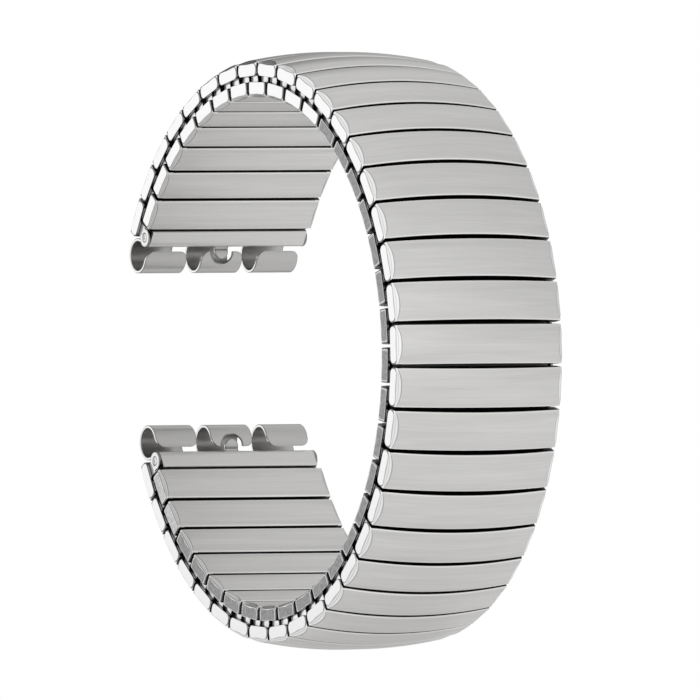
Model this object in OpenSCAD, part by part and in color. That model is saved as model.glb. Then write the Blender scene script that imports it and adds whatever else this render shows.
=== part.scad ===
// Spring expansion watch band, standing as an open loop.
// An outer row of crowned links and an inner row of sleeves lie half a pitch apart.
// U-shaped staples at both edges tie each outer link to its two inner neighbours, and leaf
// springs inside the tubes press on the staple legs. Each end has a sleeve with a hinge pin
// that carries a clip of three open curls, which slides over the bar of a watch case.
// X and Z span the plane of the loop, Y runs across the band, and Z is up.

/* [Band] */
// Number of links in the outer row
link_count = 37; // [31:2:39]
// Link spacing along the straight band, at the middle of the gap between the rows
pitch = 3.88; // [3.6:0.02:4.2]
// Width of the band over the side flaps
band_w = 18; // [14:0.5:22]
// Gap between the outer row and the inner row
row_gap = 0.64; // [0.4:0.02:0.8]
// Bend from one link to the next at the middle of the band, in degrees
bend_mid = 8.48; // [7.6:0.02:8.7]
// Bend gained from the middle to the lower end, and lost to the upper end, in degrees
bend_skew = 0.55; // [0:0.05:0.6]
// Number of seams next to the lower end that bend less than the others
ease_seams = 5; // [0:1:6]
// Bend that the first of them lacks, the second lacks twice that, and so on, in degrees
ease_step = 0.4; // [0:0.05:0.5]
// Tilt of the middle link away from upright, in degrees
lean = 2.2; // [0:0.1:4]

/* [Outer links] */
// Gap between neighbouring outer links when the band lies straight
seam_gap = 0.07; // [0.05:0.01:0.2]
// Height of the side flap of an outer link
outer_flap_h = 1.2; // [1.1:0.05:1.6]
// Rise of the brushed face at mid width over its ends
crown = 0.9; // [0.2:0.05:1.2]
// Sheet thickness of the outer shell
shell_t = 0.2; // [0.15:0.01:0.25]
// Depth of the shell's long sides below the ends of the brushed face
lip_h = 1.05; // [0.6:0.05:1.1]

/* [Inner links] */
// Height of the side flap of an inner link
inner_flap_h = 1.2; // [1.1:0.05:1.5]
// Gap between neighbouring inner faces where the loop bends most
inner_gap = 0.06; // [0.05:0.01:0.15]
// Sheet thickness of the inner sleeve
sleeve_t = 0.22; // [0.18:0.01:0.25]

/* [Edges] */
// Thickness of the side flaps
flap_t = 0.25; // [0.2:0.01:0.3]
// Radius of the flap corners that face the other row
flap_r = 0.5; // [0.2:0.05:0.6]
// Width of the bevel between flap and face
bevel_w = 0.4; // [0.2:0.05:0.6]
// Height of that bevel
bevel_h = 0.2; // [0.1:0.01:0.3]

/* [Tubes, staples and leaf springs] */
// Wall of the tube inside each outer shell
tube_t = 0.2; // [0.15:0.01:0.22]
// Width of the staple web that shows between the rows
web_w = 1.2; // [0.9:0.05:1.3]
// Thickness of the staple web
web_t = 0.25; // [0.2:0.01:0.3]
// Distance of each web from the middle of its outer link
web_x = 0.9; // [0.85:0.01:0.95]
// Thickness of the staple legs
leg_t = 0.27; // [0.2:0.01:0.28]
// Length of the staple legs
leg_l = 6; // [4:0.5:6.5]
// Thickness of the leaf springs
leaf_t = 0.12; // [0.08:0.01:0.13]
// Width of the leaf springs
leaf_w = 2; // [1.4:0.1:2.1]

/* [End sleeves and pins] */
// Diameter of the hinge pin
pin_d = 0.8; // [0.7:0.01:0.82]
// Distance of the pin from the middle of the last outer link, along the band
pin_x = 1.15; // [1.12:0.01:1.25]
// Wall of the end sleeve where it wraps the hinge
end_wall = 0.18; // [0.15:0.01:0.22]

/* [Ring clips] */
// Bore of the curls, for the bar of the watch case
bore_d = 2.84; // [2.4:0.02:2.9]
// Sheet thickness of the clip
clip_t = 0.28; // [0.22:0.01:0.28]
// Gap between neighbouring curls
curl_gap = 1.6; // [0.9:0.1:2.5]
// Set-back of the clip's ends from the ends of the end sleeve
clip_inset = 0.05; // [0:0.05:0.5]
// Least gap between a curl and the end sleeve
clip_gap = 0.13; // [0.1:0.01:0.4]
// Angle of the clip away from the band's run, in degrees
clip_angle = 20; // [16:1:22]
// Width of the tongue that reaches into the notch of the middle curl
tongue_w = 1.45; // [1:0.05:1.6]
// Radius of that notch
notch_r = 1.2; // [1.1:0.05:1.25]

/* [Stretch] */
// Number of stretching seams in each arm of the band
stretch_per_arm = 8; // [4:1:8]

/* [Hidden] */
fit = 0.04;
pin_fit = 0.02;
hinge_fit = 0.03;
web_fit = 0.05;
crown_steps = 12;
corner_steps = 5;
leaf_steps = 10;
past = 1;
$fn = 64;

mid = (link_count + 1) / 2;
half_w = band_w / 2;
gap_z = row_gap / 2;
edge_y = half_w - bevel_w;
flap_y = half_w - flap_t;
web_y = flap_y - web_fit - web_t;
tube_y = web_y - web_fit;

outer_w = pitch - seam_gap;
outer_flap_z = gap_z + outer_flap_h;
outer_face_z = outer_flap_z + bevel_h;
outer_top_z = outer_face_z + crown;
lip_z = outer_face_z - lip_h;

bend_max = bend_mid + bend_skew;
inner_flap_z = gap_z + inner_flap_h;
inner_face_z = inner_flap_z + bevel_h;
inner_w = pitch - inner_gap - 2 * inner_face_z * tan(bend_max / 2);

tube_w = outer_w - 2 * (shell_t + fit);
tube_top_z = outer_face_z - shell_t - fit;
outer_leg_w = 0.9;
inner_leg_w = 0.7;
inner_leg_lift = 0.2;
outer_leg_z = gap_z + tube_t + fit;
inner_leg_z = gap_z + sleeve_t + inner_leg_lift;
outer_leaf_z = tube_top_z - tube_t - leaf_t - fit;
inner_leaf_z = inner_face_z - sleeve_t - leaf_t - fit;
outer_bow = outer_leaf_z - (outer_leg_z + leg_t + fit);
inner_bow = 0.15;
leaf_end_gap = 0.8;
leaf_y = tube_y - leaf_end_gap;

// The end pieces are drawn in a frame at the last outer link, with X towards the free end
pin_r = pin_d / 2;
barrel_in_r = pin_r + hinge_fit;
barrel_r = barrel_in_r + clip_t;
end_slot_r = barrel_r + hinge_fit;
end_r = end_slot_r + end_wall;
end_roll_top_z = 0.07;
pin_z = end_roll_top_z - end_r;
end_near_gap = 0.2;
end_near_x = pitch / 2 - inner_w / 2 - end_near_gap;
end_low_z = pin_z - end_r;
end_leg_gap = 0.06;
end_leg_x = pin_x - barrel_r - end_leg_gap;
end_leg_w = 0.22;
end_leg_h = pin_r + web_fit;
end_web_past = 0.3;
end_web_x = pin_x + end_web_past;
slot_low_z = pin_z - pin_r - web_fit;
pin_past_web = 0.1;
pin_y = web_y + web_t + pin_past_web;

bore_r = bore_d / 2;
curl_r = bore_r + clip_t;
clip_reach = end_r + clip_gap + curl_r;
clip_l = 2 * (tube_y - clip_inset);
curl_l = (clip_l - 2 * curl_gap) / 3;
curl_pitch = curl_l + curl_gap;
free_edge_a = 206;
tongue_tip_a = 231;
tongue_root_a = 196;

// The S-shaped neck runs along the inner common tangent of the curl and the barrel
curl_mid_r = bore_r + clip_t / 2;
barrel_mid_r = barrel_in_r + clip_t / 2;
neck_a = 180 - acos((curl_mid_r + barrel_mid_r) / clip_reach);
neck_l = sqrt(pow(clip_reach, 2) - pow(curl_mid_r + barrel_mid_r, 2));
neck_trim = 0.02;
neck_root = 0.3;
bridge_l = 0.6;

function along(a) = [cos(a), sin(a)];
function turned(p, a) = [p.x * cos(a) - p.y * sin(a), p.x * sin(a) + p.y * cos(a)];
function arc(c, r, a0, a1, steps) = [for (i = [0:steps]) c + r * along(a0 + (a1 - a0) * i / steps)];
function sum(list, from, to) = from > to ? 0 : list[from] + sum(list, from + 1, to);

// Seam j lies between the outer links j and j + 1, and bends holds their bends from index 1
first_eased = link_count - ease_seams;
bends = [for (j = [0:link_count])
    bend_mid + bend_skew * (j - link_count / 2) / (link_count / 2 - 1)
        - ease_step * max(0, j + 1 - first_eased)];
function heading(k) = k >= mid
    ? lean - 90 - sum(bends, mid, k - 1)
    : lean - 90 + sum(bends, k, mid - 1);
headings = [for (k = [0:link_count]) heading(k)];
function walked(k) = k == mid
    ? [0, 0]
    : k > mid
        ? walked(k - 1) + pitch / 2 * (along(headings[k - 1]) + along(headings[k]))
        : walked(k + 1) - pitch / 2 * (along(headings[k + 1]) + along(headings[k]));
middles = [for (k = [0:link_count]) k == 0 ? [0, 0] : walked(k)];

// The loop is set down on its lowest link, with the middle of its box at X = 0
function on_link(k, p) = middles[k] + turned(p, headings[k]);
link_corners = [for (k = [1:link_count], s = [-1, 1]) on_link(k, [s * outer_w / 2, outer_top_z])];
clip_middle = [pin_x, pin_z] + clip_reach * along(clip_angle);
upper_clip_middle = on_link(1, [-clip_middle.x, clip_middle.y]);
lower_clip_middle = on_link(link_count, clip_middle);
clip_left_x = min(upper_clip_middle.x, lower_clip_middle.x) - curl_r;
left_x = min(clip_left_x, min([for (p = link_corners) p.x]));
right_x = max([for (p = link_corners) p.x]);
floor_z = min([for (p = link_corners) p.y]);

stretch_seams = concat(
    [for (i = [stretch_per_arm:-1:1]) mid - 2 * i],
    [for (i = [1:stretch_per_arm]) mid + 2 * i - 1]);
function stretches(j) = len([for (s = stretch_seams) if (s == j) s]) > 0;

function two_digits(n) = n < 10 ? str("0", n) : str(n);
function link_name(k) = str("link_", two_digits(k));
function staples_name(j) = str("stretch_staples_", two_digits(j));

// Stands its children in the loop, in the frame of outer link k
module at_link(k) {
    translate([middles[k].x - (left_x + right_x) / 2, 0, middles[k].y - floor_z])
        rotate([0, -headings[k], 0]) children();
}

module at_upper_end() {
    at_link(1) mirror([1, 0, 0]) children();
}

module at_lower_end() {
    at_link(link_count) children();
}

// Extrudes an outline in X and Z across the band
module across(l) {
    rotate([90, 0, 0]) linear_extrude(l, center = true) children();
}

// Extrudes an outline in Y and Z along the band
module lengthwise(l) {
    rotate([90, 0, 90]) linear_extrude(l, center = true) children();
}

module both_edges() {
    for (m = [0, 1]) mirror([0, m, 0]) children();
}

// Height of the outer face at y, with its crown and its end bevels
function face_height(y) = abs(y) > edge_y
    ? outer_flap_z + bevel_h * (half_w - abs(y)) / bevel_w
    : outer_face_z + crown * (1 - pow(y / edge_y, 2));

// Outline across the outer shell, out to y, down to z and drop lower than the face
module cap_outline(y, z, drop) {
    crowned = [for (i = [0:crown_steps]) edge_y * (2 * i / crown_steps - 1)];
    ys = concat([-y], [for (v = crowned) if (abs(v) < y) v], [y]);
    polygon(concat([[y, z], [-y, z]], [for (v = ys) [v, face_height(v) - drop]]));
}

// Side flap with its two round corners towards the other row
module flap_outline(w, z0, z1) {
    polygon(concat(
        [[w / 2, z1], [-w / 2, z1]],
        arc([flap_r - w / 2, z0 + flap_r], flap_r, 180, 270, corner_steps),
        arc([w / 2 - flap_r, z0 + flap_r], flap_r, 270, 360, corner_steps)));
}

module box_outline(w, z0, z1) {
    translate([-w / 2, z0]) square([w, z1 - z0]);
}

module outer_shell() {
    color("gainsboro") {
        difference() {
            lengthwise(outer_w) cap_outline(half_w, lip_z, 0);
            lengthwise(outer_w - 2 * shell_t) cap_outline(flap_y, lip_z - past, shell_t);
        }
        both_edges() translate([0, half_w - flap_t / 2, 0])
            across(flap_t) flap_outline(outer_w, gap_z, outer_flap_z);
    }
}

module spring_tube() {
    color("silver") across(2 * tube_y) difference() {
        box_outline(tube_w, gap_z, tube_top_z);
        box_outline(tube_w - 2 * tube_t, gap_z + tube_t, tube_top_z - tube_t);
    }
}

// Inner sleeve, drawn about the pivot of its seam
module inner_sleeve() {
    color("silver") mirror([0, 0, 1]) {
        across(2 * tube_y) difference() {
            box_outline(inner_w, gap_z, inner_face_z);
            box_outline(inner_w - 2 * sleeve_t, gap_z + sleeve_t, inner_face_z - sleeve_t);
        }
        lengthwise(inner_w) polygon([
            [-half_w, inner_face_z - sleeve_t], [-half_w, inner_flap_z], [-edge_y, inner_face_z],
            [edge_y, inner_face_z], [half_w, inner_flap_z], [half_w, inner_face_z - sleeve_t]]);
        both_edges() translate([0, half_w - flap_t / 2, 0])
            across(flap_t) flap_outline(inner_w, gap_z, inner_flap_z);
    }
}

// A bowed strip that rests on the staple legs and bears on the tube at mid width
module leaf_spring(mid_z, bow) {
    ys = [for (i = [0:leaf_steps]) leaf_y * (2 * i / leaf_steps - 1)];
    low = [for (y = ys) [y, mid_z - bow * pow(y / leaf_y, 2)]];
    high = [for (i = [leaf_steps:-1:0]) low[i] + [0, leaf_t]];
    color("dimgray") lengthwise(leaf_w) polygon(concat(low, high));
}

module leg(x, z, w, h) {
    translate([x - w / 2, web_y - leg_l, z]) cube([w, leg_l + web_t, h]);
}

// One staple from an outer link to the inner sleeve on the side that side names
module staple(side) {
    leg(side * web_x, outer_leg_z, outer_leg_w, leg_t);
    leg(side * web_x, -inner_leg_z - leg_t, inner_leg_w, leg_t);
    translate([side * web_x - web_w / 2, web_y, -inner_leg_z - leg_t])
        cube([web_w, web_t, inner_leg_z + outer_leg_z + 2 * leg_t]);
}

module staple_pair(side) {
    color("lightgray") both_edges() staple(side);
}

// The last staples have an eye for the hinge pin and a leg that reaches into the end sleeve
module end_web_outline() {
    difference() {
        union() {
            translate([pin_x, pin_z]) circle(end_r);
            translate([end_leg_x - end_leg_w, pin_z])
                square([end_web_x - end_leg_x + end_leg_w, outer_leg_z + leg_t - pin_z]);
        }
        translate([pin_x, pin_z]) circle(pin_r + pin_fit);
    }
}

module end_staple_pair() {
    color("lightgray") both_edges() {
        leg(web_x, outer_leg_z, outer_leg_w, leg_t);
        leg(end_leg_x - end_leg_w / 2, pin_z, end_leg_w, end_leg_h);
        translate([0, web_y + web_t / 2, 0]) across(web_t) end_web_outline();
    }
}

// One link of the band: its outer link, the inner sleeve after it, their springs and staples
module link(k) {
    outer_shell();
    spring_tube();
    leaf_spring(outer_leaf_z, outer_bow);
    if (k < link_count) {
        staple_pair(1);
        translate([pitch / 2, 0, 0]) rotate([0, bends[k] / 2, 0]) {
            inner_sleeve();
            mirror([0, 0, 1]) leaf_spring(inner_leaf_z, inner_bow);
        }
    } else {
        end_staple_pair();
    }
    if (k == 1) mirror([1, 0, 0]) end_staple_pair();
    if (k > 1 && !stretches(k - 1)) staple_pair(-1);
}

module end_outline() {
    translate([pin_x, pin_z]) circle(end_r);
    translate([-end_near_x, end_low_z]) square([pin_x + end_near_x, -gap_z - end_low_z]);
}

// Rolled end sleeve, open on its outer side where the barrels of the clip turn on the pin
module end_sleeve() {
    color("silver") difference() {
        across(2 * tube_y) end_outline();
        across(band_w) translate([pin_x, pin_z]) circle(pin_r + pin_fit);
        both_edges() translate([end_leg_x - end_leg_w - fit, tube_y - leg_l - fit, pin_z - fit])
            cube([end_leg_w + 2 * fit, leg_l + past, end_leg_h + 2 * fit]);
        for (i = [-1:1]) translate([0, i * curl_pitch, 0]) {
            across(curl_l + 4 * fit) translate([pin_x, pin_z]) circle(end_slot_r);
            translate([end_leg_x, -curl_l / 2 - 2 * fit, slot_low_z])
                cube([pin_x + end_r, curl_l + 4 * fit, -slot_low_z + past]);
        }
    }
}

module hinge_pin() {
    color("darkgray") across(2 * pin_y) translate([pin_x, pin_z]) circle(pin_r);
}

// The clip is drawn from the pin, with X towards the middle of the curls and Y outwards
module mouth_wedge(a0, a1) {
    polygon(concat([[0, 0]], arc([0, 0], 2 * curl_r, a0, a1, corner_steps)));
}

module neck_outline(l) {
    translate([clip_reach, 0]) rotate(neck_a) translate([bore_r + neck_trim, -neck_root])
        square([clip_t - 2 * neck_trim, l + neck_root]);
}

module curl_outline() {
    translate([clip_reach, 0]) difference() {
        circle(curl_r);
        circle(bore_r);
        mouth_wedge(neck_a, free_edge_a);
    }
}

module hinge_outline() {
    neck_outline(neck_l);
    difference() {
        circle(barrel_r);
        circle(barrel_in_r);
    }
}

module tongue_outline() {
    translate([clip_reach, 0]) difference() {
        circle(curl_r);
        circle(bore_r);
        mouth_wedge(tongue_tip_a - 360, tongue_root_a - 180);
        mouth_wedge(tongue_root_a - 180, tongue_root_a);
    }
    hull() {
        translate([clip_reach, 0]) rotate(tongue_root_a) translate([bore_r, -clip_t / 2])
            square([clip_t, clip_t]);
        rotate(neck_a - 180) translate([barrel_in_r + clip_t / 4, 0]) square([clip_t / 2, clip_t]);
    }
}

module ring_clip() {
    color("silver") translate([pin_x, 0, pin_z]) rotate([0, -clip_angle, 0]) {
        for (i = [-1:1]) translate([0, i * curl_pitch, 0]) across(curl_l) hinge_outline();
        for (i = [-1, 1]) translate([0, i * curl_pitch, 0]) across(curl_l) curl_outline();
        difference() {
            across(curl_l) curl_outline();
            translate([clip_reach, 0, 0]) rotate([0, -free_edge_a, 0]) rotate([0, 90, 0])
                cylinder(r = notch_r, h = 2 * curl_r);
        }
        across(tongue_w) tongue_outline();
        across(clip_l) neck_outline(bridge_l);
    }
}

for (k = [1:link_count]) {
    at_link(k) link(k);
}
for (j = stretch_seams) {
    at_link(j + 1) staple_pair(-1);
}
at_upper_end() end_sleeve();  // upper_end_sleeve
at_upper_end() hinge_pin();  // upper_hinge_pin
at_upper_end() ring_clip();  // upper_ring_clip
at_lower_end() end_sleeve();  // lower_end_sleeve
at_lower_end() hinge_pin();  // lower_hinge_pin
at_lower_end() ring_clip();  // lower_ring_clip
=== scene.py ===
import math

import bpy
import numpy as np
from mathutils import Matrix, Vector


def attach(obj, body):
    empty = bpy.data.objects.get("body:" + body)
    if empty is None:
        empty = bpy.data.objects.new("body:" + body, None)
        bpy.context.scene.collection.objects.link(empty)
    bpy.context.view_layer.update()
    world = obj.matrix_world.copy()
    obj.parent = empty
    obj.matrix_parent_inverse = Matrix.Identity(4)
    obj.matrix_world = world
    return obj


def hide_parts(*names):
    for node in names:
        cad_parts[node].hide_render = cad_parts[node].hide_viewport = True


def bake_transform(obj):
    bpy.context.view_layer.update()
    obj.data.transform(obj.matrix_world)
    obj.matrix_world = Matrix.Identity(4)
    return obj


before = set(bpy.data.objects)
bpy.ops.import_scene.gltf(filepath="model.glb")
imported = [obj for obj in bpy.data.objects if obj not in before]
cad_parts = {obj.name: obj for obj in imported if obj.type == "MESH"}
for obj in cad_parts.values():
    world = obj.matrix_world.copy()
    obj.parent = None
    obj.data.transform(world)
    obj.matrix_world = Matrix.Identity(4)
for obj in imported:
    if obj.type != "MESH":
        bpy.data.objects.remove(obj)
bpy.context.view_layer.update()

MM = 0.001

# Counts, and sizes in millimetres and degrees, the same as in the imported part
LINKS = 37
PITCH = 3.88
HALF_W = 9.0
ROW_GAP = 0.64
BEND_MID = 8.48
BEND_SKEW = 0.55
LEAN = 2.2
EASE_SEAMS = 5
EASE_STEP = 0.4
STRETCH_PER_ARM = 8
SEAM_FIT = 0.07
INNER_FIT = 0.06
FIT = 0.04
WEB_FIT = 0.05
RUN_FIT = 0.03
FLAP_H = 1.2
BEVEL_H = 0.2
CROWN = 0.9
LIP_H = 1.05
SHELL_T = 0.2
SLEEVE_T = 0.22
TUBE_T = 0.2
FLAP_T = 0.25
WEB_T = 0.25
WEB_X = 0.9
LEG_T = 0.27
LEG_L = 6.0
INNER_LEG_LIFT = 0.2
LEAF_T = 0.12
LEAF_W = 2.0
LEAF_SHORT = 0.8
INNER_LEAF_BOW = 0.15
PIN_R = 0.4
PIN_X = 1.15
PIN_PAST_WEB = 0.1
END_WALL = 0.18
END_ROLL_TOP_Z = 0.07
END_NEAR_GAP = 0.2
END_LEG_GAP = 0.06
END_LEG_W = 0.22
END_WEB_PAST = 0.3
CLIP_T = 0.28
CLIP_GAP = 0.13
CLIP_ANGLE = 20.0
BORE_R = 1.42
CURL_GAP = 1.6
CLIP_INSET = 0.05
TONGUE_W = 1.45
NOTCH_R = 1.2
FREE_EDGE_A = 206.0
TONGUE_TIP_A = 231.0
TONGUE_ROOT_A = 196.0

# Sizes and places that follow from them
MIDDLE = (LINKS + 1) // 2
GAP_Z = ROW_GAP / 2
FLAP_Z = GAP_Z + FLAP_H
FACE_Z = FLAP_Z + BEVEL_H
OUTER_W = PITCH - SEAM_FIT
LIP_Z = FACE_Z - LIP_H
INNER_W = PITCH - INNER_FIT - 2 * FACE_Z * math.tan(math.radians((BEND_MID + BEND_SKEW) / 2))
FLAP_Y = HALF_W - FLAP_T
WEB_Y = FLAP_Y - WEB_FIT - WEB_T
TUBE_Y = WEB_Y - WEB_FIT
TUBE_W = OUTER_W - 2 * (SHELL_T + FIT)
TUBE_TOP_Z = FACE_Z - SHELL_T - FIT
OUTER_LEG_Z = GAP_Z + TUBE_T + FIT
OUTER_LEG_TOP_Z = OUTER_LEG_Z + LEG_T
INNER_LEG_Z = GAP_Z + SLEEVE_T + INNER_LEG_LIFT
OUTER_LEAF_Z = TUBE_TOP_Z - TUBE_T - LEAF_T - FIT
OUTER_LEAF_BOW = OUTER_LEAF_Z - OUTER_LEG_TOP_Z - FIT
INNER_LEAF_Z = FACE_Z - SLEEVE_T - LEAF_T - FIT
LEAF_Y = TUBE_Y - LEAF_SHORT
PIN_Y = WEB_Y + WEB_T + PIN_PAST_WEB
BARREL_IN_R = PIN_R + RUN_FIT
BARREL_R = BARREL_IN_R + CLIP_T
BARREL_MID_R = BARREL_IN_R + CLIP_T / 2
END_R = BARREL_R + RUN_FIT + END_WALL
PIN_Z = END_ROLL_TOP_Z - END_R
END_NEAR_X = PITCH / 2 - INNER_W / 2 - END_NEAR_GAP
END_LEG_X = PIN_X - BARREL_R - END_LEG_GAP
CURL_R = BORE_R + CLIP_T
CURL_MID_R = BORE_R + CLIP_T / 2
CLIP_REACH = END_R + CLIP_GAP + CURL_R
CURL_L = (2 * (TUBE_Y - CLIP_INSET) - 2 * CURL_GAP) / 3
CURL_PITCH = CURL_L + CURL_GAP
NECK_A = 180 - math.degrees(math.acos((CURL_MID_R + BARREL_MID_R) / CLIP_REACH))
NECK_L = math.sqrt(CLIP_REACH ** 2 - (CURL_MID_R + BARREL_MID_R) ** 2)
STRETCH_SEAMS = [MIDDLE - 2 * i for i in range(STRETCH_PER_ARM, 0, -1)]
STRETCH_SEAMS += [MIDDLE + 2 * i - 1 for i in range(1, STRETCH_PER_ARM + 1)]


# Where each link stands
def along(degrees):
    a = math.radians(degrees)
    return np.array([math.cos(a), math.sin(a)])


def turned(p, degrees):
    c, s = along(degrees)
    return np.array([p[0] * c - p[1] * s, p[0] * s + p[1] * c])


def bend_at(seam):
    """The bend at a seam at rest. It grows a little on the way down, and eases off near the lower end."""
    skewed = BEND_MID + BEND_SKEW * (seam - LINKS / 2) / (LINKS / 2 - 1)
    return skewed - EASE_STEP * max(0, seam + 1 - (LINKS - EASE_SEAMS))


bends = [bend_at(seam) for seam in range(LINKS + 1)]
headings = {MIDDLE: LEAN - 90}
middles = {MIDDLE: np.zeros(2)}
for k in range(MIDDLE + 1, LINKS + 1):
    headings[k] = headings[k - 1] - bends[k - 1]
    middles[k] = middles[k - 1] + PITCH / 2 * (along(headings[k - 1]) + along(headings[k]))
for k in range(MIDDLE - 1, 0, -1):
    headings[k] = headings[k + 1] + bends[k]
    middles[k] = middles[k + 1] - PITCH / 2 * (along(headings[k + 1]) + along(headings[k]))


def on_link(k, p):
    return middles[k] + turned(p, headings[k])


def loop_shift():
    """What brings the loop over the origin and onto the floor."""
    top = FACE_Z + CROWN
    corners = np.array([on_link(k, (s * OUTER_W / 2, top)) for k in range(1, LINKS + 1) for s in (-1, 1)])
    curl = np.array([PIN_X, PIN_Z]) + CLIP_REACH * along(CLIP_ANGLE)
    curl_left = min(on_link(1, (-curl[0], curl[1]))[0], on_link(LINKS, curl)[0]) - CURL_R
    left = min(curl_left, corners[:, 0].min())
    return -np.array([(left + corners[:, 0].max()) / 2, corners[:, 1].min()])


shift = loop_shift()


def place(point, degrees):
    """The local frame with its X at that heading in the plane of the loop, in metres."""
    x, z = (np.array(point) + shift) * MM
    frame_there = Matrix.Rotation(-math.radians(degrees), 4, "Y")
    frame_there.translation = Vector((x, 0, z))
    return frame_there


def link_frame(k):
    return place(middles[k], headings[k])


def seam_frame(k):
    return place(on_link(k, (PITCH / 2, 0)), headings[k] - bends[k] / 2)


# Mesh building, in local millimetres
BRUSHED, POLISHED, INSIDE, BEVEL = range(4)
GRAIN_STEP = 7.31


class Shape:
    """Collects grids of points into one mesh, with a finish for each face and a tone for each point: its
    painted shade or painted highlight.
    """

    def __init__(self):
        self.points, self.faces, self.finish, self.flat = [], [], [], []
        self.grain, self.tone = [], []

    def add(self, points, faces, finish, flat=False, grain=None, tone=1.0):
        points = np.asarray(points, float).reshape(-1, 3)
        base = len(self.points)
        self.points += points.tolist()
        self.grain += (points if grain is None else np.asarray(grain, float).reshape(-1, 3)).tolist()
        self.tone += np.broadcast_to(np.asarray(tone, float).reshape(-1), (len(points),)).tolist()
        for i, face in enumerate(faces):
            self.faces.append([base + n for n in face])
            self.finish.append(finish if np.isscalar(finish) else finish[i])
            self.flat.append(flat)

    def polygon(self, loop, finish, turned_over=False, tone=1.0):
        face = list(range(len(loop)))
        self.add(loop, [face[::-1] if turned_over else face], finish, flat=True, tone=tone)

    def grid(self, rows, finish, closed=False, caps=False, flip=False, grain=None, tone=1.0,
             cap_finish=None):
        """Rows of points joined to their neighbours. Closed joins each row's ends."""
        rows = np.asarray(rows, float)
        n, m = rows.shape[:2]
        faces = []
        for i in range(n - 1):
            for j in range(m if closed else m - 1):
                a, b = i * m + j, i * m + (j + 1) % m
                face = [a, b, b + m, a + m]
                faces.append(face[::-1] if flip else face)
        self.add(rows, faces, finish, grain=grain, tone=tone)
        if caps:
            for row, back in ((rows[0], False), (rows[-1], True)):
                self.polygon(row, finish if cap_finish is None else cap_finish, turned_over=back != flip)

    def made(self, name, matrix, looks, mirror=False, number=0):
        """The mesh as an object. Number picks a stretch of the brushing of its own."""
        points = np.array(self.points)
        faces = self.faces
        if mirror:
            points = points * [-1, 1, 1]
            faces = [face[::-1] for face in faces]
        mesh = bpy.data.meshes.new(name)
        mesh.from_pydata((points * MM).tolist(), [], faces)
        for material in looks:
            mesh.materials.append(material)
        mesh.polygons.foreach_set("material_index", self.finish)
        mesh.polygons.foreach_set("use_smooth", [not flat for flat in self.flat])
        grain = mesh.attributes.new("grain", "FLOAT_VECTOR", "POINT")
        shifted = np.array(self.grain) + (0, 0, GRAIN_STEP * number)
        grain.data.foreach_set("vector", shifted.astype(np.float32).ravel())
        tone = mesh.attributes.new("tone", "FLOAT", "POINT")
        tone.data.foreach_set("value", np.array(self.tone, np.float32))
        mesh.update()
        made = bpy.data.objects.new(name, mesh)
        bpy.context.scene.collection.objects.link(made)
        made.matrix_world = matrix
        return made


def flipped(shape):
    """The same shape on the other side of the row gap."""
    other = Shape()
    other.points = (np.array(shape.points) * [1, 1, -1]).tolist()
    other.faces = [face[::-1] for face in shape.faces]
    other.finish, other.flat, other.tone = shape.finish, shape.flat, shape.tone
    other.grain = shape.grain
    return other


def arc(cx, cz, r, a0, a1, n):
    return [(cx + r * math.cos(math.radians(a)), cz + r * math.sin(math.radians(a)))
            for a in np.linspace(a0, a1, n)]


def extrude(shape, outline, y0, y1, finish, stations):
    rows = [[(x, y, z) for x, z in outline] for y in np.linspace(y0, y1, stations)]
    shape.grid(rows, finish, closed=True, caps=True, flip=True)


def half_chord(r, off):
    """Half the chord of a circle that far from its middle, and 0 beyond it."""
    return math.sqrt(max(0.0, r * r - off * off))


def line_normals(points):
    """The unit normals of a line of points, on its left."""
    d = np.gradient(np.asarray(points), axis=0)
    d /= np.linalg.norm(d, axis=1)[:, None]
    return np.column_stack([-d[:, 1], d[:, 0]])


def run_length(points):
    """The length of the line up to each of its points."""
    return np.concatenate([[0], np.cumsum(np.linalg.norm(np.diff(points, axis=0), axis=1))])


BLOCK_EDGE_R = 0.04
BLOCK_CHAMFER = 0.024
BLOCK_EDGE_POINTS = 4


def block(shape, x0, x1, y0, y1, z0, z1):
    """A polished box with its edges along Y rounded, and a small chamfer at both ends."""
    r = BLOCK_EDGE_R
    c = BLOCK_CHAMFER

    def loop(inset):
        corners = ((x0 + r, z0 + r, 180), (x1 - r, z0 + r, 270), (x1 - r, z1 - r, 0), (x0 + r, z1 - r, 90))
        return [p for x, z, a in corners for p in arc(x, z, r - inset, a, a + 90, BLOCK_EDGE_POINTS)]

    ends = ((y0, c), (y0 + c, 0), (y1 - c, 0), (y1, c))
    rows = [[(x, y, z) for x, z in loop(inset)] for y, inset in ends]
    shape.grid(rows, POLISHED, closed=True, caps=True, flip=True)


# Covers of the two rows, each with a brushed face, two lens-shaped bevels and two flaps
FILLET = 0.05
FACE_END_Y = HALF_W - FILLET
BOW_SHARE = 0.93
BOW_POWER = 2.4
SWELL = 0.012
TOP_BAND = 0.05
CORNER_L = 0.3
CORNER_D = 0.1
STATIONS = 33
LIP_STATIONS = 9
FACE_POINTS = 15
EDGE_POINTS = 9
FLAP_POINTS = 8

# Loops of a flap: places across the band with their insets, at its hidden back and on its round edge
FLAP_BACK = ((FLAP_Y, 0.012), (FLAP_Y + 0.03, 0.006))
FLAP_EDGE = ((FACE_END_Y, 0), (FACE_END_Y + 0.02, 0.008), (FACE_END_Y + 0.037, 0.02), (HALF_W, 0.05))
FLAP_FACE_INSETS = (0.08, 0.11, 0.17, 0.2)
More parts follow.
